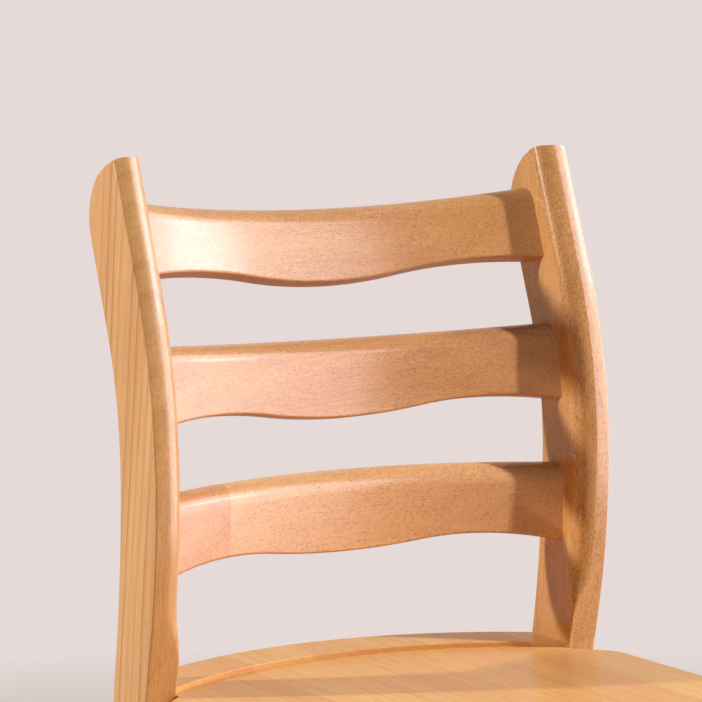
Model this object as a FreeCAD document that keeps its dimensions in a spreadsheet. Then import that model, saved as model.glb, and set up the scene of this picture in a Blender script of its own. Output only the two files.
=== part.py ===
"""Ladderback dining chair in solid wood: curved slats between two sculpted posts, a glued-up
seat with a raised rear rim, and a mortised frame below it. Millimetres; X to the right as one
faces the chair, Y to the back, Z up from the floor."""
import FreeCAD, Part
import math
import os
import re
import Sketcher

Vector = FreeCAD.Vector
doc = FreeCAD.newDocument("ladderback_chair")
sizes = doc.addObject("Spreadsheet::Sheet", "sizes")

# Driving dimensions. Y is counted from the seat's front edge until origin_shift centres the chair.
DIMENSIONS = [
    ("seat_height", 450, "floor to the top of the seat's rear rim"),
    ("post_line", 370, "seat's front edge to the posts' front faces at seat height"),
    ("back_half", 224.5, "middle of the chair to the posts' outer faces"),
    ("post_width", 28.5, "post's thickness across the chair"),
    ("post_depth", 59, "post's depth at seat height"),
    ("back_rise", 440, "rear rim to the crown of the post's fin"),
    ("crest_rise", 171, "rear rim to where the post's front reaches furthest forward"),
    ("crest_forward", 21, "how far the post's front reaches forward there"),
    ("back_lean", 21, "lean of the post's upper half from upright, degrees"),
    ("front_bend_radius", 459, "bend of the post's front into its upper half"),
    ("waist_rise", 170, "rear rim to where the post's back reaches furthest forward"),
    ("waist_back", 44.2, "post line to the post's back there"),
    ("rear_bend_radius", 350, "bend of the post's back into its upper half"),
    ("fin_back_radius", 46, "large curve at the back of the fin"),
    ("fin_top_radius", 53, "curve over the fin's top"),
    ("foot_setback", 62, "post line to the front of the rear foot"),
    ("foot_depth", 38, "depth of the rear foot"),
    ("round_radius", 17, "roundover on the post's inner front edge"),
    ("round_start", 22, "rear rim to where that roundover starts"),
    ("round_rise", 75, "rear rim to where it reaches its full radius"),
    ("edge_ease", 1.5, "small radius on the posts' other long edges"),
    ("slat_thickness", 20, "slat's thickness"),
    ("slat_radius", 465.5, "bend of a slat's rear face"),
    ("slat_upper", 32, "slat's mid line to its top edge"),
    ("slat_belly", 37.6, "slat's mid line to the low point of its lower edge"),
    ("slat_hollow", 28.7, "slat's mid line to the high points of its lower edge"),
    ("hollow_offset", 124, "middle of the chair to those high points"),
    ("hollow_radius", 350, "curve of the lower edge there"),
    ("slat_round", 17, "roundover on a slat's top front edge"),
    ("slat_ease", 2.5, "small radius on a slat's other edges"),
    ("slat_top_rise", 372, "rear rim to the top slat's mid line"),
    ("slat_top_back", 65.4, "post line to the top slat's end centre"),
    ("slat_top_lean", 19.8, "lean of the top slat, degrees"),
    ("slat_middle_rise", 252, "rear rim to the middle slat's mid line"),
    ("slat_middle_back", 30.4, "post line to the middle slat's end centre"),
    ("slat_middle_lean", 10.2, "lean of the middle slat, degrees"),
    ("slat_bottom_rise", 127, "rear rim to the bottom slat's mid line"),
    ("slat_bottom_back", 20.8, "post line to the bottom slat's end centre"),
    ("slat_bottom_lean", -2.8, "lean of the bottom slat, degrees"),
    ("tenon_thickness", 10, "thickness of every tenon"),
    ("tenon_length", 18, "how far a tenon enters"),
    ("short_tenon_length", 12, "how far the front rail's and cross stretcher's tenons enter"),
    ("slat_tenon_height", 40, "height of a slat's tenon"),
    ("glue_gap", 0.2, "clearance round a tenon"),
    ("mortise_extra", 0.6, "mortise deeper than its tenon"),
    ("seat_thickness", 24, "thickness of the seat at its rim"),
    ("seat_front_half", 230, "middle to the seat's edge at the front"),
    ("seat_side_half", 226.5, "middle to the seat's edge at the back"),
    ("seat_front_bow", 10, "how far the front edge bows forward"),
    ("rim_side_back", 61.8, "post line to the rim's rear edge at the posts"),
    ("rim_bow", 61, "how far the rim's rear edge bows back from there"),
    ("arris_side_back", 6.4, "post line to the rim's front arris at the posts"),
    ("arris_bow", 65, "how far the arris bows back from there"),
    ("notch_gap", 1, "gap between the seat's cut corner and the post's front"),
    ("rim_gap", 0.3, "gap between the rim and the posts' inner faces"),
    ("seat_front_corner", 45, "radius of the seat's front corners in plan"),
    ("corner_roundness", 1.17, "rounding of the cut corner, as a share of its size"),
    ("seat_ease", 2.5, "small radius round the seat's edges"),
    ("dish_depth", 5.2, "depth of the milled dish in the middle"),
    ("dish_radius", 19000, "hollow of the dish across the chair"),
    ("board_width", 65.7, "width of the seat's middle boards"),
    ("first_joint", -157, "middle of the chair to the first glue joint"),
    ("leg_size", 36, "front leg's square section at the top"),
    ("leg_foot", 28, "front leg's square section at the floor"),
    ("leg_out", 222, "middle to the front leg's outer face"),
    ("leg_front", 22, "seat's front edge to the front leg's front face"),
    ("leg_ease", 3, "radius on the front leg's edges"),
    ("rail_height", 60, "height of the seat rails"),
    ("rail_thickness", 20, "thickness of the seat rails"),
    ("rail_tenon_height", 40, "height of a seat rail's tenon"),
    ("front_rail_setback", 8, "front leg's face to the front rail's face"),
    ("rear_rail_back", 26, "post line to the rear rail's front face"),
    ("stretcher_rise", 170, "floor to the stretchers' mid line"),
    ("stretcher_height", 28, "height of the stretchers"),
    ("stretcher_thickness", 20, "thickness of the stretchers"),
    ("stretcher_tenon_height", 18, "height of a stretcher's tenon"),
    ("stretcher_root", 30, "length of a side stretcher's rear tenon with its root"),
    ("cross_back", 232, "seat's front edge to the cross stretcher's middle"),
    ("block_height", 30, "height of the corner blocks"),
    ("block_width", 34, "corner block's reach along each rail past its cut corner"),
    ("block_clearance", 3, "corner block's gap to the leg's inner corner"),
    ("rear_block_start", 20, "cut tip of the rear corner blocks"),
    ("screw_diameter", 4.2, "shank of every screw"),
    ("screw_head", 8.4, "head of every screw"),
    ("screw_head_height", 3, "height of every screw head"),
    ("screw_gap", 0.15, "clearance round a shank"),
    ("head_gap", 0.4, "clearance round a head"),
    ("screw_bite", 13, "how far a screw enters the piece it holds"),
    ("screw_wood", 9, "wood left under a rail screw's head"),
    ("seat_screw_wood", 22, "wood left under a seat screw's head"),
    ("block_screw_drop", 18, "seat's underside to the rail screws"),
    ("glide_height", 3, "thickness of the glides"),
    ("glide_diameter", 20, "diameter of the glides"),
    ("glide_pin", 3, "diameter of a glide's nail"),
    ("glide_pin_length", 14, "length of a glide's nail"),
]

# Sizes that follow from the driving ones.
DERIVED = [
    ("seat_under", "=seat_height - seat_thickness"),
    ("inner_half", "=back_half - post_width"),
    ("front_low_radius", "=(crest_rise^2 + crest_forward^2) / (2 * crest_forward)"),
    ("round_y", "=post_line - crest_forward + front_low_radius"
                " - sqrt(front_low_radius^2 - (crest_rise - round_rise)^2)"),
    ("round_z", "=seat_height + round_rise"),
    ("start_y", "=post_line - crest_forward + front_low_radius"
                " - sqrt(front_low_radius^2 - (crest_rise - round_start)^2)"),
    ("start_z", "=seat_height + round_start"),
    ("crest_y", "=post_line - crest_forward"),
    ("crest_z", "=seat_height + crest_rise"),
    ("bend_y", "=crest_y + front_bend_radius * (1 - cos(back_lean))"),
    ("bend_z", "=crest_z + front_bend_radius * sin(back_lean)"),
    ("waist_y", "=post_line + waist_back"),
    ("waist_z", "=seat_height + waist_rise"),
    ("rear_low_radius", "=(waist_rise^2 + (post_depth - waist_back)^2) / (2 * (post_depth - waist_back))"),
    ("rear_bend_y", "=waist_y + rear_bend_radius * (1 - cos(back_lean))"),
    ("rear_bend_z", "=waist_z + rear_bend_radius * sin(back_lean)"),
    ("fin_z", "=seat_height + back_rise - fin_top_radius"),
    ("fin_low_z", "=fin_z - fin_back_radius * sin(back_lean)"),
    ("fin_low_y", "=rear_bend_y + (fin_low_z - rear_bend_z) * tan(back_lean)"),
    ("fin_y", "=fin_low_y + fin_back_radius * (1 - cos(back_lean))"),
    ("fin_offset", "=bend_y - (fin_y - fin_top_radius) + (fin_z - bend_z) * tan(back_lean)"),
    ("fin_reach", "=(sqrt(fin_top_radius^2 * (1 + tan(back_lean)^2) - fin_offset^2)"
                  " - fin_offset * tan(back_lean)) / (1 + tan(back_lean)^2)"),
    ("tip_y", "=fin_y - fin_top_radius + fin_offset + fin_reach * tan(back_lean)"),
    ("tip_z", "=fin_z + fin_reach"),
    ("post_rear_y", "=post_line + post_depth"),
    ("foot_front_y", "=post_line + foot_setback"),
    ("foot_rear_y", "=foot_front_y + foot_depth"),
    ("slat_front_radius", "=slat_radius - slat_thickness"),
    ("slat_end_depth", "=sqrt(slat_radius^2 - inner_half^2) - sqrt(slat_front_radius^2 - inner_half^2)"),
    ("slat_end_rear", "=slat_end_depth / 2"),
    ("hollow_rise", "=slat_belly - slat_hollow"),
    ("belly_radius", "=(hollow_offset^2 + hollow_rise^2) / (2 * hollow_rise) - hollow_radius"),
    ("wave_x", "=hollow_offset * belly_radius / (belly_radius + hollow_radius)"),
    ("wave_z", "=slat_belly - belly_radius + sqrt(belly_radius^2 - wave_x^2)"),
    ("wave_end_x", "=inner_half + slat_ease * 4"),
    ("wave_end_z", "=slat_hollow + hollow_radius - sqrt(hollow_radius^2 - (wave_end_x - hollow_offset)^2)"),
    ("slat_stock_low", "=slat_belly + slat_ease * 4"),
    ("slat_stock_cut", "=slat_stock_low + slat_ease * 4"),
    ("slat_bow", "=slat_radius - sqrt(slat_radius^2 - inner_half^2)"),
    ("tenon_half", "=tenon_thickness / 2"),
    ("slat_tenon_half", "=slat_tenon_height / 2"),
    ("chair_depth", "=post_line + slat_top_back + slat_ease"
                    " + (slat_end_rear + slat_bow - slat_ease) * cos(slat_top_lean)"
                    " + (slat_upper - slat_ease) * sin(slat_top_lean)"),
    ("origin_shift", "=-chair_depth / 2"),
    ("rim_side_y", "=post_line + rim_side_back"),
    ("rim_side_x", "=inner_half - rim_gap"),
    ("rim_rear_y", "=rim_side_y + rim_bow"),
    ("seat_rear_corner", "=corner_roundness * (seat_side_half - rim_side_x)"),
    ("rim_radius", "=(rim_side_x^2 + rim_bow^2) / (2 * rim_bow)"),
    ("notch_y", "=post_line - notch_gap"),
    ("cut_y", "=notch_y - (seat_side_half - rim_side_x)"),
    ("front_radius", "=(seat_front_half^2 + seat_front_bow^2) / (2 * seat_front_bow)"),
    ("arris_radius", "=(inner_half^2 + arris_bow^2) / (2 * arris_bow)"),
    ("arris_rear_y", "=post_line + arris_side_back + arris_bow"),
    ("dish_half", "=seat_front_half + seat_thickness"),
    ("dish_rear_y", "=arris_rear_y - arris_radius + sqrt(arris_radius^2 - dish_half^2)"),
    ("dish_low_z", "=seat_height - dish_depth"),
    ("dish_side_z", "=dish_low_z + dish_radius - sqrt(dish_radius^2 - dish_half^2)"),
    ("dish_clear_z", "=seat_height + seat_thickness"),
    ("leg_in", "=leg_out - leg_size"),
    ("leg_foot_in", "=leg_out - leg_foot"),
    ("leg_rear", "=leg_front + leg_size"),
    ("leg_foot_rear", "=leg_front + leg_foot"),
    ("leg_height", "=seat_under - glide_height"),
    ("side_rail_x", "=inner_half + rail_thickness / 2"),
    ("rail_under", "=seat_under - rail_height"),
    ("rail_middle_z", "=seat_under - rail_height / 2"),
    ("front_rail_y", "=leg_front + front_rail_setback + rail_thickness / 2"),
    ("front_rail_rear", "=front_rail_y + rail_thickness / 2"),
    ("rear_rail_front", "=post_line + rear_rail_back"),
    ("rear_rail_y", "=rear_rail_front + rail_thickness / 2"),
    ("rail_stock_end", "=post_line + rear_rail_back / 2"),
    ("front_block_start", "=(inner_half - leg_in) + (leg_rear - front_rail_rear) + block_clearance"),
    ("front_block_end", "=front_block_start + block_width"),
    ("front_block_middle", "=front_block_start + block_width / 2"),
    ("rear_block_end", "=rear_block_start + block_width"),
    ("rear_block_middle", "=rear_block_start + block_width / 2"),
    ("front_near_x", "=inner_half - front_block_start"),
    ("front_far_x", "=inner_half - front_block_end"),
    ("front_near_y", "=front_rail_rear + front_block_start"),
    ("front_far_y", "=front_rail_rear + front_block_end"),
    ("rear_near_x", "=inner_half - rear_block_start"),
    ("rear_far_x", "=inner_half - rear_block_end"),
    ("rear_near_y", "=rear_rail_front - rear_block_start"),
    ("rear_far_y", "=rear_rail_front - rear_block_end"),
    ("block_under", "=seat_under - block_height"),
    ("rail_screw_z", "=seat_under - block_screw_drop"),
    ("seat_screw_z", "=seat_under - seat_screw_wood"),
    ("foot_y", "=foot_front_y + foot_depth / 2"),
    ("foot_x", "=back_half - post_width / 2"),
    ("leg_foot_x", "=leg_out - leg_foot / 2"),
    ("leg_foot_y", "=leg_front + leg_foot / 2"),
]

names = set()
for line, (name, content, *note) in enumerate(DIMENSIONS + DERIVED, start=1):
    sizes.set("A%d" % line, note[0] if note else "follows from the sizes above")
    sizes.set("B%d" % line, str(content))
    sizes.setAlias("B%d" % line, name)
    names.add(name)
doc.recompute()


def size(name):
    """Value of a cell; a leading minus mirrors it."""
    value = sizes.get(name.lstrip("-"))
    value = float(getattr(value, "Value", value))
    return -value if name.startswith("-") else value


def cells(text):
    """Expression on the sheet, written with bare cell names."""
    return re.sub(r"[a-z_]+", lambda found: "sizes." + found[0] if found[0] in names else found[0], text)


def bind(thing, **expressions):
    """Tie properties of an object to the sheet."""
    for name, text in expressions.items():
        thing.setExpression(name, cells(text))


def spot(x, y, z, axis="0; 0; 1", turn="0"):
    """Placement whose Y is counted from the seat's front edge."""
    return "placement(vector(%s; %s + origin_shift; %s); rotation(vector(%s); %s))" % (x, y, z, axis, turn)


def body(label):
    """Empty body that moves with the origin shift."""
    made = doc.addObject("PartDesign::Body", label)
    made.setExpression("Placement", cells(spot("0", "0", "0")))
    return made


def outline(owner, name, role, corners, arcs=None, offset=None):
    """Closed sketch through corners given as pairs of cells; arcs maps an edge to its radius
    cell and to the side of its centre, +1 left and -1 right of the way round."""
    arcs = arcs or {}
    sketch = owner.newObject("Sketcher::SketchObject", name)
    plane = next(item for item in owner.Origin.OriginFeatures if item.Role == role)
    sketch.AttachmentSupport = [(plane, "")]
    sketch.MapMode = "FlatFace"
    if offset:
        sketch.setExpression("AttachmentOffset.Base.z", cells(offset))
    points = [Vector(size(across), size(up), 0) for across, up in corners]
    ends = []
    for edge, start in enumerate(points):
        finish = points[(edge + 1) % len(points)]
        if edge not in arcs:
            sketch.addGeometry(Part.LineSegment(start, finish))
            ends.append((1, 2))
            continue
        radius, side = size(arcs[edge][0]), arcs[edge][1]
        chord = finish - start
        normal = Vector(-chord.y, chord.x, 0).normalize() * side
        centre = (start + finish) * 0.5 + normal * math.sqrt(radius ** 2 - (chord.Length / 2) ** 2)
        turns = [math.atan2(point.y - centre.y, point.x - centre.x) for point in (start, finish)]
        circle = Part.Circle(centre, Vector(0, 0, 1), radius)
        sketch.addGeometry(Part.ArcOfCircle(circle, *turns[::side]))
        ends.append((1, 2)[::side])

    def hold(kind, *where, cell):
        index = sketch.addConstraint(Sketcher.Constraint(kind, *where, size(cell)))
        title = "%s_%d" % (kind.lower(), index)
        sketch.renameConstraint(index, title)
        sketch.setExpression(".Constraints." + title, cells(cell))

    for edge in range(len(points)):
        following = (edge + 1) % len(points)
        sketch.addConstraint(
            Sketcher.Constraint("Coincident", edge, ends[edge][1], following, ends[following][0]))
    for edge, (across, up) in enumerate(corners):
        hold("DistanceX", -1, 1, edge, ends[edge][0], cell=across)
        hold("DistanceY", -1, 1, edge, ends[edge][0], cell=up)
    for edge, (radius, side) in arcs.items():
        hold("Radius", edge, cell=radius)
    return sketch


def pad(owner, name, profile, length, **settings):
    """Pad of a sketch by a length from the sheet."""
    made = owner.newObject("PartDesign::Pad", name)
    made.Profile = profile
    made.setExpression("Length", cells(length))
    for key, value in settings.items():
        setattr(made, key, value)
    return made


def through(owner, name, profile):
    """Pocket through everything, both ways."""
    made = owner.newObject("PartDesign::Pocket", name)
    made.Profile = profile
    made.Type = "ThroughAll"
    made.Midplane = True
    return made


def edges(shape, wanted):
    """Numbers of the edges that pass a test."""
    return [number for number, edge in enumerate(shape.Edges, start=1) if wanted(edge)]


def ease(owner, name, base, wanted, radius):
    """Fillet on the edges of a body's last feature that pass a test."""
    doc.recompute()
    made = owner.newObject("PartDesign::Fillet", name)
    made.Base = (base, ["Edge%d" % number for number in edges(base.Shape, wanted)])
    made.setExpression("Radius", cells(radius))
    return made


def block(name, extent, place):
    """Box of three lengths with its low corner at a placement."""
    made = doc.addObject("Part::Box", name)
    bind(made, Length=extent[0], Width=extent[1], Height=extent[2], Placement=place)
    return made


def rod(name, radius, length, place):
    """Cylinder that starts at a placement."""
    made = doc.addObject("Part::Cylinder", name)
    bind(made, Radius=radius, Height=length, Placement=place)
    return made


def joined(name, pieces):
    made = doc.addObject("Part::MultiFuse", name)
    made.Shapes = pieces
    made.Refine = True
    return made


def less(name, base, tools):
    """Base with the tools cut out of it."""
    made = doc.addObject("Part::Cut", name)
    made.Base = base
    made.Tool = tools[0] if len(tools) == 1 else joined(name + "_cuts", tools)
    return made


def shared(name, base, tool):
    made = doc.addObject("Part::MultiCommon", name)
    made.Shapes = [base, tool]
    return made


SIDES = {"left": "-", "right": ""}
LEVELS = ("top", "middle", "bottom")
nodes = {}
mortises = {"post_left": [], "post_right": [], "front_leg_left": [], "front_leg_right": [],
            "stretcher_left": [], "stretcher_right": []}


def near(value, target, slack=0.01):
    return abs(value - target) < slack


def mortise(holder, name, extent, low, frame=None):
    """Mortise for a tenon of that extent and low corner, larger by the glue gap all round."""
    grown = ["(%s) + 2 * glue_gap" % length for length in extent]
    start = ["(%s) - glue_gap" % place for place in low]
    if frame:
        place = "%s * placement(vector(%s; %s; %s); rotation(vector(0; 0; 1); 0))" % (frame, *start)
    else:
        place = spot(*start)
    mortises[holder].append(block(name, grown, place))


# Back slats: steam-bent, 20 mm thick, rounded over on the top front edge and wavy below.
# Each ends in a plain tenon that runs straight across the chair into the post.
for level in LEVELS:
    frame = spot("0", "post_line + slat_%s_back" % level, "seat_height + slat_%s_rise" % level,
                 "1; 0; 0", "-slat_%s_lean" % level)
    slat = doc.addObject("PartDesign::Body", "slat_" + level)
    slat.setExpression("Placement", cells(frame))
    bend = outline(slat, "bend_" + level, "XY_Plane",
                   [("-inner_half", "slat_end_rear"), ("inner_half", "slat_end_rear"),
                    ("inner_half", "-slat_end_rear"), ("-inner_half", "-slat_end_rear")],
                   {0: ("slat_radius", -1), 2: ("slat_front_radius", 1)}, offset="slat_upper")
    stock = pad(slat, "stock_" + level, bend, "slat_upper + slat_stock_low", Reversed=True)
    wave = outline(slat, "wave_" + level, "XZ_Plane",
                   [("-wave_end_x", "-wave_end_z"), ("-wave_x", "-wave_z"), ("wave_x", "-wave_z"),
                    ("wave_end_x", "-wave_end_z"), ("wave_end_x", "-slat_stock_cut"),
                    ("-wave_end_x", "-slat_stock_cut")],
                   {0: ("hollow_radius", -1), 1: ("belly_radius", 1), 2: ("hollow_radius", -1)})
    sawn = through(slat, "sawn_" + level, wave)
    top = size("slat_upper")
    deep = size("slat_end_rear")
    rounded = ease(slat, "rounded_" + level, sawn,
                   lambda edge: near(edge.BoundBox.ZMin, top) and near(edge.BoundBox.YMin, -deep)
                   and edge.BoundBox.XLength > deep, "slat_round")
    eased = ease(slat, "eased_" + level, rounded,
                 lambda edge: edge.BoundBox.XLength > deep * 2 and
                 (edge.BoundBox.ZMax < 0 or near(edge.BoundBox.ZMin, top) and edge.BoundBox.YMin > 0),
                 "slat_ease")
    tongue = outline(slat, "tongue_" + level, "YZ_Plane",
                     [("tenon_half", "slat_tenon_half"), ("-tenon_half", "slat_tenon_half"),
                      ("-tenon_half", "-slat_tenon_half"), ("tenon_half", "-slat_tenon_half")],
                     offset="inner_half - tenon_thickness / 2")
    tenon = pad(slat, "tenon_" + level, tongue, "tenon_length + tenon_thickness / 2")
    twin = slat.newObject("PartDesign::Mirrored", "tenons_" + level)
    twin.Originals = [tenon]
    plane = next(item for item in slat.Origin.OriginFeatures if item.Role == "YZ_Plane")
    twin.MirrorPlane = (plane, [""])
    slat.Tip = twin
    nodes["slat_" + level] = slat
    for side in SIDES:
        start = "inner_half" if side == "right" else "-inner_half - tenon_length - mortise_extra"
        mortise("post_" + side, "slat_%s_mortise_%s" % (level, side),
                ("tenon_length + mortise_extra", "tenon_thickness", "slat_tenon_height"),
                (start, "-tenon_half", "-slat_tenon_half"), frame)

# Posts: one sawn piece each from the floor to the fin, 28.5 mm thick. The inner front edge is
# rounded over from above the seat to the tip; the other long edges are only eased. The left
# post is built and the right one is its mirror image.
PROFILE = [("post_line", "seat_height"), ("start_y", "start_z"), ("round_y", "round_z"),
           ("crest_y", "crest_z"), ("bend_y", "bend_z"), ("tip_y", "tip_z"), ("fin_y", "fin_z"),
           ("fin_low_y", "fin_low_z"), ("rear_bend_y", "rear_bend_z"), ("waist_y", "waist_z"),
           ("post_rear_y", "seat_height"), ("foot_rear_y", "glide_height"), ("foot_front_y", "glide_height")]
PROFILE_ARCS = {0: ("front_low_radius", -1), 1: ("front_low_radius", -1), 2: ("front_low_radius", -1),
                3: ("front_bend_radius", -1), 5: ("fin_top_radius", -1), 6: ("fin_back_radius", -1),
                8: ("rear_bend_radius", 1), 9: ("rear_low_radius", 1)}
stock = body("post_stock_left")
sketch = outline(stock, "post_profile", "YZ_Plane", PROFILE, PROFILE_ARCS, offset="-back_half")
stock.Tip = pad(stock, "post_pad", sketch, "post_width")
doc.recompute()
full, least = size("round_radius"), size("edge_ease")
front_limit = size("waist_y") + size("origin_shift") - least
turned = []
for number, edge in enumerate(stock.Shape.Edges, start=1):
    box = edge.BoundBox
    if box.XLength > 1 or near(box.ZMax, size("glide_height")):
        continue
    on_inside = near(box.XMin, size("-inner_half")) and box.YMin < front_limit
    if not on_inside or box.ZMax < size("start_z") + 1:
        turned.append((number, least, least))
    elif near(box.ZMin, size("start_z")):
        turned.insert(0, (number, full, least))
    else:
        turned.insert(0, (number, full, full))
shaped = doc.addObject("Part::Fillet", "post_shaped_left")
shaped.Base = stock
shaped.Edges = turned


def mirrored(name, source):
    """The same piece on the chair's right."""
    made = doc.addObject("Part::Mirroring", name)
    made.Source = source
    made.Normal = (1, 0, 0)
    return made


stocks = {"post_left": stock, "post_right": mirrored("post_stock_right", stock)}
posts = {"left": shaped, "right": mirrored("post_shaped_right", shaped)}

# Front legs: square, tapered on their two inner sides.
legs = {}
for side in SIDES:
    low_in, low_out = ("leg_foot_in", "leg_out") if side == "right" else ("-leg_out", "-leg_foot_in")
    top_in, top_out = ("leg_in", "leg_out") if side == "right" else ("-leg_out", "-leg_in")
    wedge = doc.addObject("Part::Wedge", "leg_stock_" + side)
    stocks["leg_" + side] = wedge
    bind(wedge, Xmin=low_in, Xmax=low_out, X2min=top_in, X2max=top_out,
         Zmin="-leg_foot_rear", Zmax="-leg_front", Z2min="-leg_rear", Z2max="-leg_front",
         Ymin="0", Ymax="leg_height", Placement=spot("0", "0", "glide_height", "1; 0; 0", "90"))
    doc.recompute()
    legs[side] = doc.addObject("Part::Fillet", "leg_shaped_" + side)
    legs[side].Base = wedge
    legs[side].Edges = [(number, size("leg_ease"), size("leg_ease"))
                        for number in edges(wedge.Shape, lambda edge: edge.BoundBox.ZLength > 100)]

# Seat blank: sawn to its plan, notched round the posts, dished in front of the rear rim.
blank = body("seat_blank")
plan = outline(blank, "seat_plan", "XY_Plane",
               [("-seat_front_half", "seat_front_bow"), ("seat_front_half", "seat_front_bow"),
                ("seat_side_half", "cut_y"), ("rim_side_x", "notch_y"), ("rim_side_x", "rim_side_y"),
                ("-rim_side_x", "rim_side_y"), ("-rim_side_x", "notch_y"), ("-seat_side_half", "cut_y")],
               {0: ("front_radius", 1), 4: ("rim_radius", 1)}, offset="seat_under")
slab = pad(blank, "seat_slab", plan, "seat_thickness")
fronts = ease(blank, "front_corners", slab,
              lambda edge: edge.BoundBox.ZLength > 5 and near(edge.BoundBox.YMin, size("seat_front_bow")),
              "seat_front_corner")
rears = ease(blank, "rear_corners", fronts,
             lambda edge: edge.BoundBox.ZLength > 5 and near(edge.BoundBox.YMin, size("cut_y"))
             and edge.BoundBox.XLength < 1, "seat_rear_corner")
blank.Tip = rears
hollow = body("seat_hollow")
section = outline(hollow, "hollow_section", "XZ_Plane",
                  [("-dish_half", "dish_side_z"), ("dish_half", "dish_side_z"),
                   ("dish_half", "dish_clear_z"), ("-dish_half", "dish_clear_z")],
                  {0: ("dish_radius", 1)}, offset="seat_front_bow")
run = pad(hollow, "hollow_run", section, "arris_rear_y + 2 * seat_front_bow", Reversed=True)
behind = outline(hollow, "hollow_limit", "XY_Plane",
                 [("-dish_half", "dish_rear_y"), ("dish_half", "dish_rear_y"),
                  ("dish_half", "rim_rear_y"), ("-dish_half", "rim_rear_y")],
                 {0: ("arris_radius", -1)})
hollow.Tip = through(hollow, "hollow_end", behind)
dished = less("seat_dished", blank, [hollow])
doc.recompute()


def eased_edge(edge):
    """Edges round the seat's top and underside, but for the arris and those beside the posts."""
    box = edge.BoundBox
    end = box.YMax - size("origin_shift")
    beside_post = box.XLength < 0.01 and end > size("notch_y") + 1
    return box.ZLength < size("dish_depth") and not beside_post and not near(end, size("arris_rear_y"), 1)


seat = doc.addObject("Part::Fillet", "seat_eased")
seat.Base = dished
seat.Edges = [(number, size("seat_ease"), size("seat_ease")) for number in edges(dished.Shape, eased_edge)]


# Frame pieces. Each rail is cut to the faces it meets, then given its tenons.
def bar(name, low, extent, trims, tenons):
    """Straight bar trimmed by what it meets, with tenons given as (holder, low corner, extent)."""
    stock = block(name + "_stock", extent, spot(*low))
    if trims:
        stock = less(name + "_trimmed", stock, trims)
    tongues = []
    for holder, start, length in tenons:
        tongues.append(block("%s_tenon_%d" % (name, len(tongues) + 1), length, spot(*start)))
        mortise(holder, "%s_mortise_%d" % (name, len(tongues)), length, start)
    return joined(name + "_bar", [stock] + tongues)


rails = {}
tenon_z = "rail_middle_z - rail_tenon_height / 2"
stretcher_tenon_z = "stretcher_rise - stretcher_tenon_height / 2"
reach = "short_tenon_length + rail_thickness / 2"
rails["apron_front"] = bar(
    "apron_front", ("-leg_foot_in", "front_rail_y - rail_thickness / 2", "rail_under"),
    ("2 * leg_foot_in", "rail_thickness", "rail_height"), [stocks["leg_left"], stocks["leg_right"]],
    [("front_leg_right", ("leg_in - rail_thickness / 2", "front_rail_y - tenon_half", tenon_z),
      (reach, "tenon_thickness", "rail_tenon_height")),
     ("front_leg_left", ("-leg_in - short_tenon_length", "front_rail_y - tenon_half", tenon_z),
      (reach, "tenon_thickness", "rail_tenon_height"))])
reach = "tenon_length + rail_thickness / 2"
rails["apron_rear"] = bar(
    "apron_rear", ("-inner_half", "rear_rail_front", "rail_under"),
    ("2 * inner_half", "rail_thickness", "rail_height"), [],
    [("post_right", ("inner_half - rail_thickness / 2", "rear_rail_y - tenon_half", tenon_z),
      (reach, "tenon_thickness", "rail_tenon_height")),
     ("post_left", ("-inner_half - tenon_length", "rear_rail_y - tenon_half", tenon_z),
      (reach, "tenon_thickness", "rail_tenon_height"))])
for side in SIDES:
    ends = [stocks["leg_" + side], stocks["post_" + side]]
    rail_low = "inner_half" if side == "right" else "-inner_half - rail_thickness"
    tenon_low = "side_rail_x - tenon_half" if side == "right" else "-side_rail_x - tenon_half"
    rails["apron_" + side] = bar(
        "apron_" + side, (rail_low, "leg_foot_rear", "rail_under"),
        ("rail_thickness", "rail_stock_end - leg_foot_rear", "rail_height"), ends,
        [("front_leg_" + side, (tenon_low, "leg_rear - tenon_length", tenon_z),
          ("tenon_thickness", "tenon_length + rail_thickness / 2", "rail_tenon_height")),
         ("post_" + side, (tenon_low, "post_line - rail_thickness / 2", tenon_z),
          ("tenon_thickness", "rear_rail_back + rail_thickness / 2", "rail_tenon_height"))])
    rails["stretcher_" + side] = bar(
        "stretcher_" + side, (rail_low, "leg_foot_rear", "stretcher_rise - stretcher_height / 2"),
        ("stretcher_thickness", "foot_front_y - leg_foot_rear", "stretcher_height"), ends,
        [("front_leg_" + side, (tenon_low, "leg_foot_rear - tenon_length", stretcher_tenon_z),
          ("tenon_thickness", "tenon_length + rail_thickness / 2", "stretcher_tenon_height")),
         ("post_" + side, (tenon_low, "foot_front_y - stretcher_root", stretcher_tenon_z),
          ("tenon_thickness", "stretcher_root", "stretcher_tenon_height"))])
reach = "short_tenon_length + rail_thickness / 2"
rails["stretcher_cross"] = bar(
    "stretcher_cross", ("-inner_half", "cross_back - stretcher_thickness / 2",
                        "stretcher_rise - stretcher_height / 2"),
    ("2 * inner_half", "stretcher_thickness", "stretcher_height"), [],
    [("stretcher_right", ("inner_half - rail_thickness / 2", "cross_back - tenon_half", stretcher_tenon_z),
      (reach, "tenon_thickness", "stretcher_tenon_height")),
     ("stretcher_left", ("-inner_half - short_tenon_length", "cross_back - tenon_half", stretcher_tenon_z),
      (reach, "tenon_thickness", "stretcher_tenon_height"))])

# Corner blocks: bands of wood across the frame's corners, each screwed to its two rails and
# up into the seat.
TURNS = {"front": ("1; 0; 0", "-90"), "rear": ("1; 0; 0", "90"), "right": ("0; 1; 0", "-90"),
         "left": ("0; 1; 0", "90"), "seat": ("1; 0; 0", "180")}
cuts = {name: [] for name in rails}
board_cuts = []
screws = {"rail": [], "seat": []}


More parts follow.
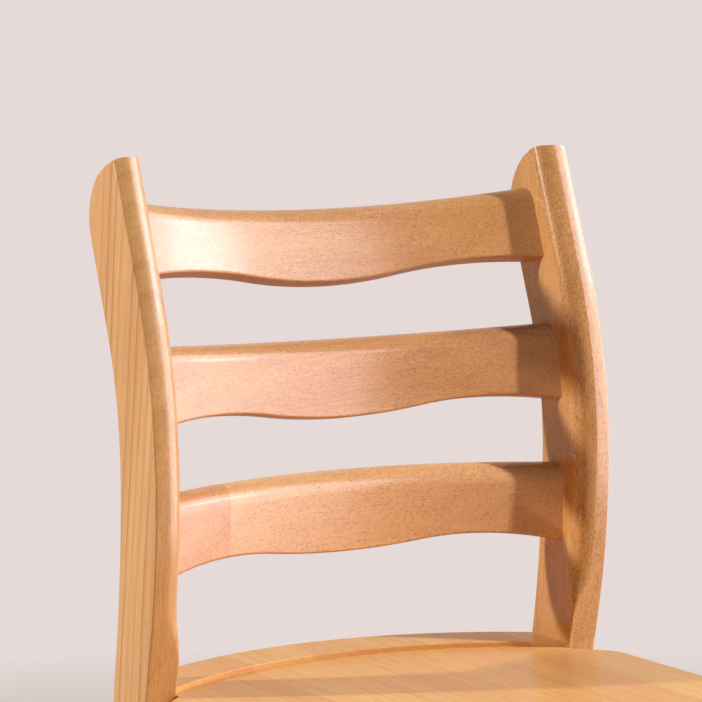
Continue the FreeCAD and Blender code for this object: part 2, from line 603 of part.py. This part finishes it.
def screw(name, kind, seat_at, turn, wood):
    """Screw whose head seats at a point; gives the holes for its shank and for its head."""
    place = spot(*seat_at, *TURNS[turn])
    tip = wood + " + screw_bite"
    deeper = place + " * placement(vector(0; 0; -(%s)); rotation(vector(0; 0; 1); 0))"
    shank = rod(name + "_shank", "screw_diameter / 2", tip + " + screw_head_height / 2", deeper % tip)
    head = rod(name + "_head", "screw_head / 2", "screw_head_height", place)
    screws[kind].append(joined(name, [shank, head]))
    tip += " + head_gap"
    hole = rod(name + "_hole", "screw_diameter / 2 + screw_gap", tip + " + screw_head_height",
               deeper % tip)
    sink = rod(name + "_sink", "screw_head / 2 + head_gap", "block_width", place)
    return hole, sink


blocks = {}
for end in ("front", "rear"):
    for side, sign in SIDES.items():
        name = "corner_block_%s_%s" % (end, side)
        out = "1" if side == "right" else "-1"
        stock = body(name + "_body")
        face_y = "front_rail_rear" if end == "front" else "rear_rail_front"
        corners = [(sign + end + "_near_x", face_y), (sign + "inner_half", end + "_near_y"),
                   (sign + "inner_half", end + "_far_y"), (sign + end + "_far_x", face_y)]
        sketch = outline(stock, name + "_plan", "XY_Plane", corners, offset="block_under")
        stock.Tip = pad(stock, name + "_pad", sketch, "block_height")
        middle = "%s_block_middle" % end
        toward = face_y + (" + " if end == "front" else " - ")
        inward = out + " * (inner_half - %s)"
        first = screw(name + "_screw_1", "rail",
                      (inward % middle, toward + "screw_wood", "rail_screw_z"), end, "screw_wood")
        second = screw(name + "_screw_2", "rail",
                       (inward % "screw_wood", toward + middle, "rail_screw_z"), side, "screw_wood")
        upright = screw(name + "_screw_3", "seat",
                        (inward % (middle + " / 2"), toward + middle + " / 2", "seat_screw_z"),
                        "seat", "seat_screw_wood")
        cuts["apron_" + end].append(first[0])
        cuts["apron_" + side].append(second[0])
        board_cuts.append(upright[0])
        blocks[name] = less(name, stock, list(first + second + upright))
for name, rail in rails.items():
    tools = cuts[name] + mortises.get(name, [])
    nodes[name] = less(name, rail, tools) if tools else rail
nodes.update(blocks)
for kind, title in (("rail", "block_screws"), ("seat", "seat_screws")):
    group = doc.addObject("Part::Compound", title)
    group.Links = screws[kind]
    nodes[title] = group

# Seat boards: the blank's seven staves, glued edge to edge with their grain front to back.
BOARDS = 7
bored = less("seat_bored", seat, board_cuts)
for number in range(BOARDS):
    low = "-seat_front_half" if number == 0 else "first_joint + %d * board_width" % (number - 1)
    high = "seat_front_half" if number == BOARDS - 1 else "first_joint + %d * board_width" % number
    stave = block("stave_%d" % (number + 1), ("(%s) - (%s)" % (high, low), "rim_rear_y", "seat_thickness"),
                  spot(low, "0", "seat_under"))
    nodes["seat_board_%d" % (number + 1)] = shared("board_%d" % (number + 1), bored, stave)

# Glides: nailed under the four feet.
for end, side in (("front", "left"), ("front", "right"), ("rear", "left"), ("rear", "right")):
    sign = SIDES[side]
    x, y = ("leg_foot_x", "leg_foot_y") if end == "front" else ("foot_x", "foot_y")
    name = "glide_%s_%s" % (end, side)
    disc = rod(name + "_disc", "glide_diameter / 2", "glide_height", spot(sign + x, y, "0"))
    nail = rod(name + "_nail", "glide_pin / 2", "glide_pin_length", spot(sign + x, y, "glide_height / 2"))
    nodes[name] = joined(name, [disc, nail])
    holder = "front_leg_" + side if end == "front" else "post_" + side
    mortises[holder].append(rod(name + "_hole", "glide_pin / 2 + screw_gap", "glide_pin_length",
                                spot(sign + x, y, "glide_height / 2")))
for side in SIDES:
    nodes["post_" + side] = less("post_" + side, posts[side], mortises["post_" + side])
    nodes["front_leg_" + side] = less("front_leg_" + side, legs[side], mortises["front_leg_" + side])
doc.recompute()

problems = [item.Label for item in doc.Objects if {"Invalid", "Error"} & set(item.State)]
os.makedirs("parts", exist_ok=True)
for name, item in nodes.items():
    item.Label = name
    if item.Shape.isNull() or not item.Shape.isValid():
        problems.append(name)
if problems:
    raise RuntimeError("not built: " + ", ".join(problems))
for name, item in nodes.items():
    item.Shape.exportStep("parts/%s.step" % name)
    box = item.Shape.BoundBox
    print(name, len(item.Shape.Solids), "solids", round(item.Shape.Volume), "mm3",
          [round(value, 1) for value in (box.XMin, box.XMax, box.YMin, box.YMax, box.ZMin, box.ZMax)])
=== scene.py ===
import math
import bmesh
import bpy
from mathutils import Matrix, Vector


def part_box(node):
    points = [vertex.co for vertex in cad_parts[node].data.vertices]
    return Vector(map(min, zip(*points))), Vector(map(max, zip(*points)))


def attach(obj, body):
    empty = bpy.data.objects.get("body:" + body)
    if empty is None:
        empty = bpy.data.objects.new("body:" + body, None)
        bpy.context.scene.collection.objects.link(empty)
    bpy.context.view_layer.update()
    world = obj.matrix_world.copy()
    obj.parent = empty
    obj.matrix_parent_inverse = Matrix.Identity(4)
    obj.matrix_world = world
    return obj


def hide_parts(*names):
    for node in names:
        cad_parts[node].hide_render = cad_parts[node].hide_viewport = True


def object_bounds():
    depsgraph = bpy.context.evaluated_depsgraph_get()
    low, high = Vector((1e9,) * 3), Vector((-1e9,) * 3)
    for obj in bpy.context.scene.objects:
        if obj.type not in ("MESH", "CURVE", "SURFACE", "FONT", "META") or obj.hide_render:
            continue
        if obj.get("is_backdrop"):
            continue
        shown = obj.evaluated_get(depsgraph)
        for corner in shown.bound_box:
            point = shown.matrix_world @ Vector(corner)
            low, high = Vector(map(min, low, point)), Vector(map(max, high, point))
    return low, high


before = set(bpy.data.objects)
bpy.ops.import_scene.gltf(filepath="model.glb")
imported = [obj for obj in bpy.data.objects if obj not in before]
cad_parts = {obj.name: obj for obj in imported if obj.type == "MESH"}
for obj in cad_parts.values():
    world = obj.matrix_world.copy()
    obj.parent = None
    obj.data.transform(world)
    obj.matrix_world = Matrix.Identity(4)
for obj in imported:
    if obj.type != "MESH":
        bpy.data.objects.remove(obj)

cad_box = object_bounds()

# Rear posts
# Two long posts sawn to an S from one thick board each, so their grain runs straight up and the
# curved faces cut through it. Rounded over by hand and router, then sprayed with clear lacquer.


def linear(red, green, blue):
    """A colour written as 0 to 255, turned into the linear values a shader takes."""
    def channel(value):
        value = value / 255
        return value / 12.92 if value <= 0.04045 else ((value + 0.055) / 1.055) ** 2.4
    return (channel(red), channel(green), channel(blue), 1.0)


class Flow:
    """A socket of a finish, which adds and multiplies with numbers and other sockets."""

    def __init__(self, finish, socket):
        self.finish = finish
        self.socket = socket

    def _math(self, operation, first, second, clamp=False):
        settings = {"operation": operation, "use_clamp": clamp}
        return self.finish.node("ShaderNodeMath", settings, {0: first, 1: second})

    def __add__(self, other):
        return self._math("ADD", self, other)

    __radd__ = __add__

    def __sub__(self, other):
        return self._math("SUBTRACT", self, other)

    def __rsub__(self, other):
        return self._math("SUBTRACT", other, self)

    def __mul__(self, other):
        return self._math("MULTIPLY", self, other)

    __rmul__ = __mul__

    def __truediv__(self, other):
        return self._math("DIVIDE", self, other)

    def __rtruediv__(self, other):
        return self._math("DIVIDE", other, self)

    def held(self):
        """The same value, kept between 0 and 1."""
        return self._math("ADD", self, 0.0, clamp=True)


class Finish:
    """A material, or the surround of the studio, under way."""

    def __init__(self, owner):
        self.owner = owner
        owner.use_nodes = True
        self.tree = owner.node_tree
        self.tree.nodes.clear()

    def node(self, kind, settings=None, inputs=None, output=0):
        """Any node: its type, its settings, and the values or links of its sockets."""
        made = self.tree.nodes.new(kind)
        for name, value in (settings or {}).items():
            if name == "stops":
                for spot, colour in value:
                    stop = made.color_ramp.elements.new(spot)
                    stop.color = colour
                made.color_ramp.elements.remove(made.color_ramp.elements[0])
                made.color_ramp.elements.remove(made.color_ramp.elements[-1])
            else:
                setattr(made, name, value)
        for name, value in (inputs or {}).items():
            if isinstance(value, Flow):
                self.tree.links.new(value.socket, made.inputs[name])
            else:
                made.inputs[name].default_value = value
        return Flow(self, made.outputs[output]) if made.outputs else None

    def blend(self, amount, first, second, how="MIX"):
        """Two colours mixed by an amount."""
        settings = {"data_type": "RGBA", "blend_type": how, "clamp_factor": True}
        return self.node("ShaderNodeMix", settings, {0: amount, 6: first, 7: second}, output=2)

    def done(self, surface, end="ShaderNodeOutputMaterial"):
        """Join the surface to the output, which ends the finish."""
        self.node(end, {}, {"Surface": surface})
        return self.owner


GRAIN_TURN = {
    "X": (0, -math.pi / 2, 0),
    "Y": (math.pi / 2, 0, 0),
    "Z": (0, 0, 0),
}
GRAIN_AXIS = {"X": (1, 0, 0), "Y": (0, 1, 0), "Z": (0, 0, 1)}
FRONTWARD = (0, -1, 0)
DOWNWARD = (0, 0, -1)
SECOND_LENGTH_SHIFT = (0.07, 0.11, 0.3)
RING_WOBBLE = 0.016
PORE_CELLS = (1450, 1450, 300)
STREAK_BROWN = linear(150, 92, 48)
PORE_BROWN = linear(126, 72, 34)
# The brown that darkens faces pointing down, as painted shade.
UNDERSIDE_PAINTED_SHADE = linear(200, 172, 150)
SCUFF_BROWN = linear(110, 74, 46)
SCUFF_HEIGHT = 0.045


def wood(name, grain, heart, pale, deep, lines=0.2, plain=0.0, ring=0.0052, pores=1.0,
         lean=(0, 0, 0), joint=None, second_lean=(0, 0, 0), second_tint=None, lacquer=1.0,
         scuffed=False):
    """Close-grained light hardwood. grain is the axis it runs along and heart the log's centre.
    lines is how dark the year rings show, ring their spacing, and plain how far they fade on a
    quarter-sawn front. lean turns the grain a little, joint is the X where a second length is
    glued on, and scuffed marks feet that stand on the floor."""
    finish = Finish(bpy.data.materials.new(name))
    spot = finish.node("ShaderNodeTexCoord", output="Object")
    place = finish.node("ShaderNodeVectorMath", {"operation": "SUBTRACT"}, {0: spot, 1: heart})

    def laid(shift, tilt):
        turn = [angle + extra for angle, extra in zip(GRAIN_TURN[grain], tilt)]
        return finish.node(
            "ShaderNodeMapping", {}, {"Vector": place, "Location": shift, "Rotation": turn})

    log = laid((0, 0, 0), lean)
    if joint is not None:
        sideways = finish.node("ShaderNodeSeparateXYZ", {}, {0: spot}, output=0)
        second = finish.node(
            "ShaderNodeMath", {"operation": "GREATER_THAN"}, {0: sideways, 1: joint})
        log = finish.node(
            "ShaderNodeMix", {"data_type": "VECTOR"},
            {0: second, 4: log, 5: laid(SECOND_LENGTH_SHIFT, second_lean)}, output=1)

    def noise(across, along, detail=2.0, rough=0.5):
        """Noise drawn out along the grain, as cells per metre across it and along it."""
        drawn = finish.node(
            "ShaderNodeMapping", {}, {"Vector": log, "Scale": (across, across, along)})
        return finish.node(
            "ShaderNodeTexNoise", {},
            {"Vector": drawn, "Scale": 1.0, "Detail": detail, "Roughness": rough})

    # Year rings round the log's centre, pale early wood that darkens to the late wood's line.
    flat = finish.node("ShaderNodeVectorMath", {"operation": "MULTIPLY"}, {0: log, 1: (1, 1, 0)})
    radius = finish.node("ShaderNodeVectorMath", {"operation": "LENGTH"}, {0: flat}, output="Value")
    turns = (radius + (noise(16, 1.8, 1.0) - 0.5) * RING_WOBBLE) / ring
    share = finish.node("ShaderNodeMath", {"operation": "FRACT"}, {0: turns})
    late = finish.node(
        "ShaderNodeValToRGB",
        {"stops": [(0.0, (0.5, 0.5, 0.5, 1)), (0.10, (0.05, 0.05, 0.05, 1)),
                   (0.62, (0.2, 0.2, 0.2, 1)), (0.92, (1, 1, 1, 1)), (1.0, (0.5, 0.5, 0.5, 1))]},
        {"Fac": share})
    strong = (noise(40, 1.2, 1.0) * 2.2 - 0.5).held()

    # Fibres, broad figure, dark streaks and the pores between them.
    fibre = noise(700, 14, 4.0, 0.65)
    figure = noise(26, 2.4, 2.0)
    streak = ((noise(1100, 22, 1.0) - 0.60) * 7).held()
    cells = {"Scale": 1.0, "Vector": finish.node(
        "ShaderNodeMapping", {}, {"Vector": log, "Scale": PORE_CELLS})}
    reach = finish.node("ShaderNodeTexVoronoi", {}, cells, output="Distance")
    chance = finish.node("ShaderNodeSeparateColor", {}, {
        "Color": finish.node("ShaderNodeTexVoronoi", {}, cells, output="Color")})
    crowd = noise(70, 8, 2.0)
    pore = ((0.52 - reach) * 5).held() * ((chance - 1.25 + crowd * 1.6) * 5).held() * pores

    # End grain drinks more lacquer and turns darker. Undersides get a thinner coat, and their
    # colour is darkened as painted shade.
    facing = finish.node("ShaderNodeTexCoord", output="Normal")

    def toward(axis):
        """How squarely the surface faces along an axis."""
        return finish.node(
            "ShaderNodeVectorMath", {"operation": "DOT_PRODUCT"}, {0: facing, 1: axis},
            output="Value")

    endwise = toward(GRAIN_AXIS[grain])
    end = ((endwise * endwise - 0.35) * 1.3).held()
    painted_shade_and_thin_coat_below = ((toward(DOWNWARD) - 0.55) * 4).held()

    shown = lines * (1.0 - plain * toward(FRONTWARD).held())
    depth = (late * strong * shown + (fibre - 0.5) * 1.2 + (figure - 0.5) * 0.9 + 0.4
             + end * 0.4).held()
    colour = finish.blend(depth, pale, deep)
    if joint is not None:
        colour = finish.blend(second * 0.4, colour, second_tint)
    colour = finish.blend(streak * 0.16, colour, STREAK_BROWN)
    colour = finish.blend(pore * 0.5, colour, PORE_BROWN)
    # Painted shade: faces that point down are darkened toward a brown.
    colour = finish.blend(painted_shade_and_thin_coat_below * 0.6, colour, UNDERSIDE_PAINTED_SHADE, "MULTIPLY")
    # Convex edges are lightened toward the pale tone and made glossier: partly rubbed wear, partly
    # a painted highlight along the arrises.
    edge_wear_and_painted_highlight = ((finish.node("ShaderNodeNewGeometry", output="Pointiness") - 0.53) * 9).held()
    colour = finish.blend(edge_wear_and_painted_highlight * 0.25, colour, pale)
    roughness = 0.48 + (fibre - 0.5) * 0.16 + pore * 0.12 - edge_wear_and_painted_highlight * 0.05
    if scuffed:
        height = finish.node("ShaderNodeSeparateXYZ", {}, {0: spot}, output=2)
        wear = ((SCUFF_HEIGHT - height) * 30 + (noise(70, 40, 3.0) - 0.5) * 1.6).held()
        colour = finish.blend(wear * 0.35, colour, SCUFF_BROWN)
        roughness = roughness + wear * 0.25
    relief = fibre * 0.3 + late * 0.15 - pore * 0.6
    bump = finish.node(
        "ShaderNodeBump", {}, {"Height": relief, "Strength": 0.3, "Distance": 0.0001})
    surface = finish.node("ShaderNodeBsdfPrincipled", {}, {
        "Base Color": colour, "Roughness": roughness, "Normal": bump, "IOR": 1.5,
        "Specular IOR Level": 0.08 if lacquer else 0.5,
        "Coat Weight": (1.0 - painted_shade_and_thin_coat_below * 0.8) * 0.85 * lacquer, "Coat Roughness": 0.2,
        "Coat IOR": 1.4})
    return finish.done(surface)


SAME_POINT = 0.00002
NO_LENGTH = 0.000001


def dressed(node, finish, crease=33, by_hand=None):
    """The CAD piece with its triangles joined, curved faces smooth and arrises crisp. by_hand is
    the work a craftsman would still do on it."""
    joined = bmesh.new()
    joined.from_mesh(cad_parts[node].data)
    bmesh.ops.remove_doubles(joined, verts=joined.verts, dist=SAME_POINT)
    bmesh.ops.dissolve_degenerate(joined, edges=joined.edges, dist=NO_LENGTH)
    if by_hand:
        by_hand(joined)
    for face in joined.faces:
        face.smooth = True
    for edge in joined.edges:
        edge.smooth = edge.calc_face_angle(0) < math.radians(crease)
    mesh = bpy.data.meshes.new(node + "_mesh")
    joined.to_mesh(mesh)
    joined.free()
    piece = bpy.data.objects.new(node + "_finished", mesh)
    bpy.context.scene.collection.objects.link(piece)
    mesh.materials.append(finish)
    evened = piece.modifiers.new("even_shading", "WEIGHTED_NORMAL")
    evened.keep_sharp = True
    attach(piece, "root")
    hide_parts(node)


CROWN_WIDTH = 0.014
CROWN_CUTS = (CROWN_WIDTH, 0.0115, 0.009, 0.0065, 0.004, 0.0025)
CROWN_DEPTH = 0.0022
CROWN_START = 0.59
CROWN_RUN = 0.12
CUT_ABOVE = 0.47
MOVED_ABOVE = 0.5
FRONT_SKIN = 0.003
TIP_CUT_ABOVE = 0.86
TIP_START = 0.865
TIP_RUN = 0.02
TIP_DROP = 0.004


def crowned(post):
    """Sand the front back a little toward the outer edge, and the tip's outer corner down."""
    outer = max(abs(corner.co.x) for corner in post.verts)
    side = math.copysign(1, sum(corner.co.x for corner in post.verts))
    flat = outer - CROWN_WIDTH
    for inset in CROWN_CUTS:
        cut = [face for face in post.faces if face.calc_center_median().z > CUT_ABOVE
               and (face.normal.y < -0.3
                    or face.normal.z > 0.3 and face.calc_center_median().z > TIP_CUT_ABOVE)]
        edges = {edge for face in cut for edge in face.edges}
        corners = {corner for face in cut for corner in face.verts}
        bmesh.ops.bisect_plane(
            post, geom=cut + list(edges) + list(corners), dist=NO_LENGTH,
            plane_co=(side * (outer - inset), 0, 0), plane_no=(1, 0, 0))
    front = sorted((corner.co.z, corner.co.y) for corner in post.verts
                   if abs(abs(corner.co.x) - flat) < 0.00001 and any(
                       face.normal.y < -0.3 for face in corner.link_faces))

    def front_at(height):
        """How far back the front lies at a height."""
        for (low, near), (high, far) in zip(front, front[1:]):
            if low <= height <= high:
                return near + (far - near) * (height - low) / max(high - low, NO_LENGTH)
        return front[0][1] if height < front[0][0] else front[-1][1]

    for corner in post.verts:
        out = (abs(corner.co.x) - flat) / CROWN_WIDTH
        if out <= 0 or corner.co.z < MOVED_ABOVE:
            continue
        rise = min(max(corner.co.z - CROWN_START, 0.0) / CROWN_RUN, 1.0)
        if corner.co.y < front_at(corner.co.z) + FRONT_SKIN:
            corner.co.y += CROWN_DEPTH * out ** 2 * rise
        if corner.co.z > TIP_START:
            corner.co.z -= TIP_DROP * out ** 4 * min((corner.co.z - TIP_START) / TIP_RUN, 1.0)


POSTS = (
    ("post_left", (-0.27, -0.62, 0.4), 0.7, 0.7, 0.012, 0.4, (-0.12, 0, 0),
     linear(238, 188, 126), linear(190, 128, 66)),
    ("post_right", (-0.30, -0.55, 0.4), 0.12, 0.0, 0.006, 1.4, (0, 0, 0),
     linear(234, 180, 116), linear(178, 116, 60)),
)
for node, heart, lines, plain, ring, pores, lean, pale, deep in POSTS:
    dressed(node, wood(
        node + "_wood", "Z", heart, pale, deep, lines=lines, plain=plain, ring=ring, pores=pores,
        lean=lean, scuffed=True), by_hand=crowned)

# Back slats
# Three bowed slats, bandsawn from thick stock; the top and bottom ones are glued up from two
# lengths. Their ends are tenoned and glued into the posts.
SLATS = (
    ("slat_top", (0.0, 0.32, 0.1), 0.103, (0, 0, 0), (0, 0, 0), linear(214, 156, 92),
     linear(232, 178, 124), linear(200, 136, 82)),
    ("slat_middle", (0.0, 0.30, 0.0), None, (0, 0.06, 0), (0, 0, 0), None,
     linear(231, 176, 122), linear(197, 133, 80)),
    ("slat_bottom", (0.0, 0.34, -0.1), -0.124, (0, 0.55, 0), (0, 0.03, 0), linear(250, 202, 150),
     linear(238, 180, 124), linear(204, 136, 84)),
)
for node, heart, joint, lean, second_lean, second_tint, pale, deep in SLATS:
    dressed(node, wood(
        node + "_wood", "X", heart, pale, deep, lines=0.16, lean=lean, joint=joint,
        second_lean=second_lean, second_tint=second_tint))

# Front legs
# Square tapered legs, planed and lacquered like the posts.
for side, heart in (("left", (-0.3, -0.3, 0.2)), ("right", (0.27, -0.28, 0.2))):
    dressed("front_leg_" + side, wood(
        "front_leg_wood_" + side, "Z", heart, linear(231, 180, 120), linear(195, 132, 70),
        scuffed=True))

# Seat rails and stretchers
# Planed rails with short tenons, glued into legs and posts. The two side ones run front to back.
RAILS = (
    ("apron_front", "X", (0.2, -0.26, 0.36)),
    ("apron_rear", "X", (-0.1, 0.22, 0.45)),
    ("apron_left", "Y", (-0.26, 0.0, 0.35)),
    ("apron_right", "Y", (0.15, 0.0, 0.44)),
    ("stretcher_left", "Y", (-0.25, 0.0, 0.12)),
    ("stretcher_right", "Y", (0.24, 0.0, 0.21)),
    ("stretcher_cross", "X", (0.0, 0.08, 0.13)),
)
for node, grain, heart in RAILS:
    dressed(node, wood(
        node + "_wood", grain, heart, linear(229, 177, 118), linear(193, 129, 68), lacquer=0.4))

# Corner blocks
# Rough-planed blocks across the corners of the frame, left raw. Two screws hold each of them, and
# a third goes up into the seat.
OFF_THE_HEART = Vector((0.02, 0.03, -0.04))
for corner in ("front_left", "front_right", "rear_left", "rear_right"):
    node = "corner_block_" + corner
    low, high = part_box(node)
    dressed(node, wood(
        node + "_wood", "X", tuple((low + high) / 2 + OFF_THE_HEART),
        linear(222, 186, 140), linear(186, 142, 96), lacquer=0.0))

# Screws
# Zinc-plated steel wood screws, turned and rolled, bright with fine turning marks.
zinc = Finish(bpy.data.materials.new("zinc_steel"))
spot = zinc.node("ShaderNodeTexCoord", output="Object")
mottle = zinc.node("ShaderNodeTexNoise", {}, {"Vector": spot, "Scale": 900.0, "Detail": 3.0})
dull = zinc.node("ShaderNodeTexNoise", {}, {"Vector": spot, "Scale": 160.0, "Detail": 2.0})
steel = zinc.blend(mottle, linear(196, 196, 192), linear(160, 158, 150))
turned = zinc.node("ShaderNodeBump", {}, {"Height": mottle, "Strength": 0.2, "Distance": 0.0001})
zinc_steel = zinc.done(zinc.node("ShaderNodeBsdfPrincipled", {}, {
    "Base Color": steel, "Metallic": 1.0, "Roughness": 0.25 + dull * 0.25, "Normal": turned}))
for node in ("block_screws", "seat_screws"):
    dressed(node, zinc_steel)

# Seat
# Seven boards glued edge to edge, then hollowed by a machine that leaves the rim standing. Each
# board keeps its own tint under the lacquer.
RIM_TOP = 0.4499
ARRIS_WIDTH = 0.0013


def softened(board):
    """Take the sharpness off the front arris of the raised rim."""
    arris = [edge for edge in board.edges if len(edge.link_faces) == 2
             and min(corner.co.z for corner in edge.verts) > RIM_TOP
             and max(face.normal.z for face in edge.link_faces) > 0.9
             and min(face.normal.y for face in edge.link_faces) < -0.5
             and min(abs(face.normal.z) for face in edge.link_faces) < 0.1]
    if arris:
        bmesh.ops.bevel(
            board, geom=arris, offset=ARRIS_WIDTH, segments=3, profile=0.5, affect="EDGES",
            material=-1)


BOARD_TINTS = (0.2, 0.6, 0.0, 0.45, 0.3, 0.7, 0.0)
OFF_MIDDLE = 0.03
for number, tint in enumerate(BOARD_TINTS, start=1):
    node = "seat_board_%d" % number
    low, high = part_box(node)
    middle = (low.x + high.x) / 2
    heart = (middle + (-1) ** number * OFF_MIDDLE, 0.0, 0.38 if number % 2 else 0.50)
    dressed(node, wood(
        node + "_wood", "Y", heart, linear(246 - 10 * tint, 200 - 20 * tint, 132 - 14 * tint),
        linear(218 - 10 * tint, 160 - 20 * tint, 90 - 10 * tint), lines=0.25, pores=0.3,
        lacquer=0.3), by_hand=softened)

# Glides
# Dark moulded plastic discs, each nailed into the foot.
moulded = Finish(bpy.data.materials.new("moulded_plastic"))
spot = moulded.node("ShaderNodeTexCoord", output="Object")
speck = moulded.node("ShaderNodeTexNoise", {}, {"Vector": spot, "Scale": 2600.0, "Detail": 2.0})
smear = moulded.node("ShaderNodeTexNoise", {}, {"Vector": spot, "Scale": 240.0, "Detail": 3.0})
pebbled = moulded.node("ShaderNodeBump", {}, {"Height": speck, "Strength": 0.3, "Distance": 0.0002})
dark_plastic = moulded.done(moulded.node("ShaderNodeBsdfPrincipled", {}, {
    "Base Color": moulded.blend(smear, linear(62, 58, 54), linear(84, 78, 72)),
    "Roughness": 0.5 + speck * 0.2, "Normal": pebbled}))
for corner in ("front_left", "front_right", "rear_left", "rear_right"):
    dressed("glide_" + corner, dark_plastic)

# Studio
# A round pale floor that fades out at its edge, a pale surround and five lamps: a small key lamp
# and a soft box in front on the right, two cards that give only sheen, and a lamp behind on the
# left. The camera stands in front, to the left of the chair.
BACKDROP = linear(229, 218, 215)
SHADE_FILL = (0.62, 0.44, 0.31, 1)
FILL_STRENGTH = 0.19
FLOOR_RADIUS = 2.4

floor_finish = Finish(bpy.data.materials.new("studio_floor"))
spot = floor_finish.node("ShaderNodeTexCoord", output="Object")
away = floor_finish.node("ShaderNodeVectorMath", {"operation": "LENGTH"}, {0: spot}, output="Value")
kept = (FLOOR_RADIUS - away).held()
floor_surface = floor_finish.node("ShaderNodeBsdfPrincipled", {}, {
    "Base Color": BACKDROP, "Roughness": 0.7, "Specular IOR Level": 0.0, "Alpha": kept})
floor_mesh = bpy.data.meshes.new("studio_floor")
slab = bmesh.new()
bmesh.ops.create_circle(slab, cap_ends=True, segments=96, radius=FLOOR_RADIUS)
slab.to_mesh(floor_mesh)
slab.free()
floor = bpy.data.objects.new("studio_floor", floor_mesh)
bpy.context.scene.collection.objects.link(floor)
floor_mesh.materials.append(floor_finish.done(floor_surface))
floor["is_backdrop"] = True

world = bpy.data.worlds.new("studio")
bpy.context.scene.world = world
surround = Finish(world)
seen = surround.node("ShaderNodeBackground", {}, {"Color": BACKDROP, "Strength": 1.0})
fill = surround.node(
    "ShaderNodeBackground", {}, {"Color": SHADE_FILL, "Strength": FILL_STRENGTH})
by_camera, by_gloss, by_glass = [
    surround.node("ShaderNodeLightPath", output=ray)
    for ray in ("Is Camera Ray", "Is Glossy Ray", "Is Transmission Ray")]
straight = surround.node("ShaderNodeMath", {"operation": "MAXIMUM"}, {0: by_camera, 1: by_gloss})
pale_ray = surround.node("ShaderNodeMath", {"operation": "MAXIMUM"}, {0: straight, 1: by_glass})
surround.done(
    surround.node("ShaderNodeMixShader", {}, {0: pale_ray, 1: fill, 2: seen}),
    end="ShaderNodeOutputWorld")

AIM = Vector((0.0, 0.1, 0.6))


def lamp(name, azimuth, height, away, width, tall, power, colour):
    """A soft lamp that faces the chair's back. azimuth, in degrees, is turned from straight in
    front to the side of plus X, and height is how many degrees it stands above the back."""
    turn, rise = math.radians(azimuth), math.radians(height)
    toward = Vector((
        math.sin(turn) * math.cos(rise), -math.cos(turn) * math.cos(rise), math.sin(rise)))
    light = bpy.data.lights.new(name, "AREA")
    light.shape = "RECTANGLE"
    light.size = width
    light.size_y = tall
    light.energy = power
    light.color = colour
    stand = bpy.data.objects.new(name, light)
    stand.location = AIM + toward * away
    stand.rotation_euler = (-toward).to_track_quat("-Z", "Y").to_euler()
    bpy.context.scene.collection.objects.link(stand)
    return stand


key = lamp("key_lamp", 50, 30, 3.4, 0.10, 0.3, 105, (1.0, 0.95, 0.90))
key.visible_glossy = False
soft = lamp("soft_box", 70, 14, 3.4, 3.2, 1.7, 45, (1.0, 0.95, 0.97))
soft.visible_glossy = False
wide = lamp("wide_sheen", 62, 14, 2.1, 3.0, 2.4, 165, (0.80, 0.84, 1.0))
wide.visible_diffuse = False
side = lamp("side_sheen", 68, 25, 3.4, 1.1, 0.5, 24, (0.84, 0.87, 1.0))
side.visible_diffuse = False
lamp("rear_lamp", -108, 20, 3.4, 0.12, 0.2, 85, (1.0, 0.95, 0.84))

lens = bpy.data.cameras.new("camera")
lens.sensor_width = 36
lens.lens = 167.07
viewer = bpy.data.objects.new("camera", lens)
viewer.location = (-1.4169, -2.2338, 1.0250)
viewer.rotation_euler = (math.radians(83.71), 0, math.radians(-30.52))
bpy.context.scene.collection.objects.link(viewer)
bpy.context.scene.camera = viewer
bpy.context.scene.view_settings.view_transform = "Standard"


def plain(box):
    return [[round(value, 6) for value in corner] for corner in box]


{"cad": plain(cad_box), "scene": plain(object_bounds())}
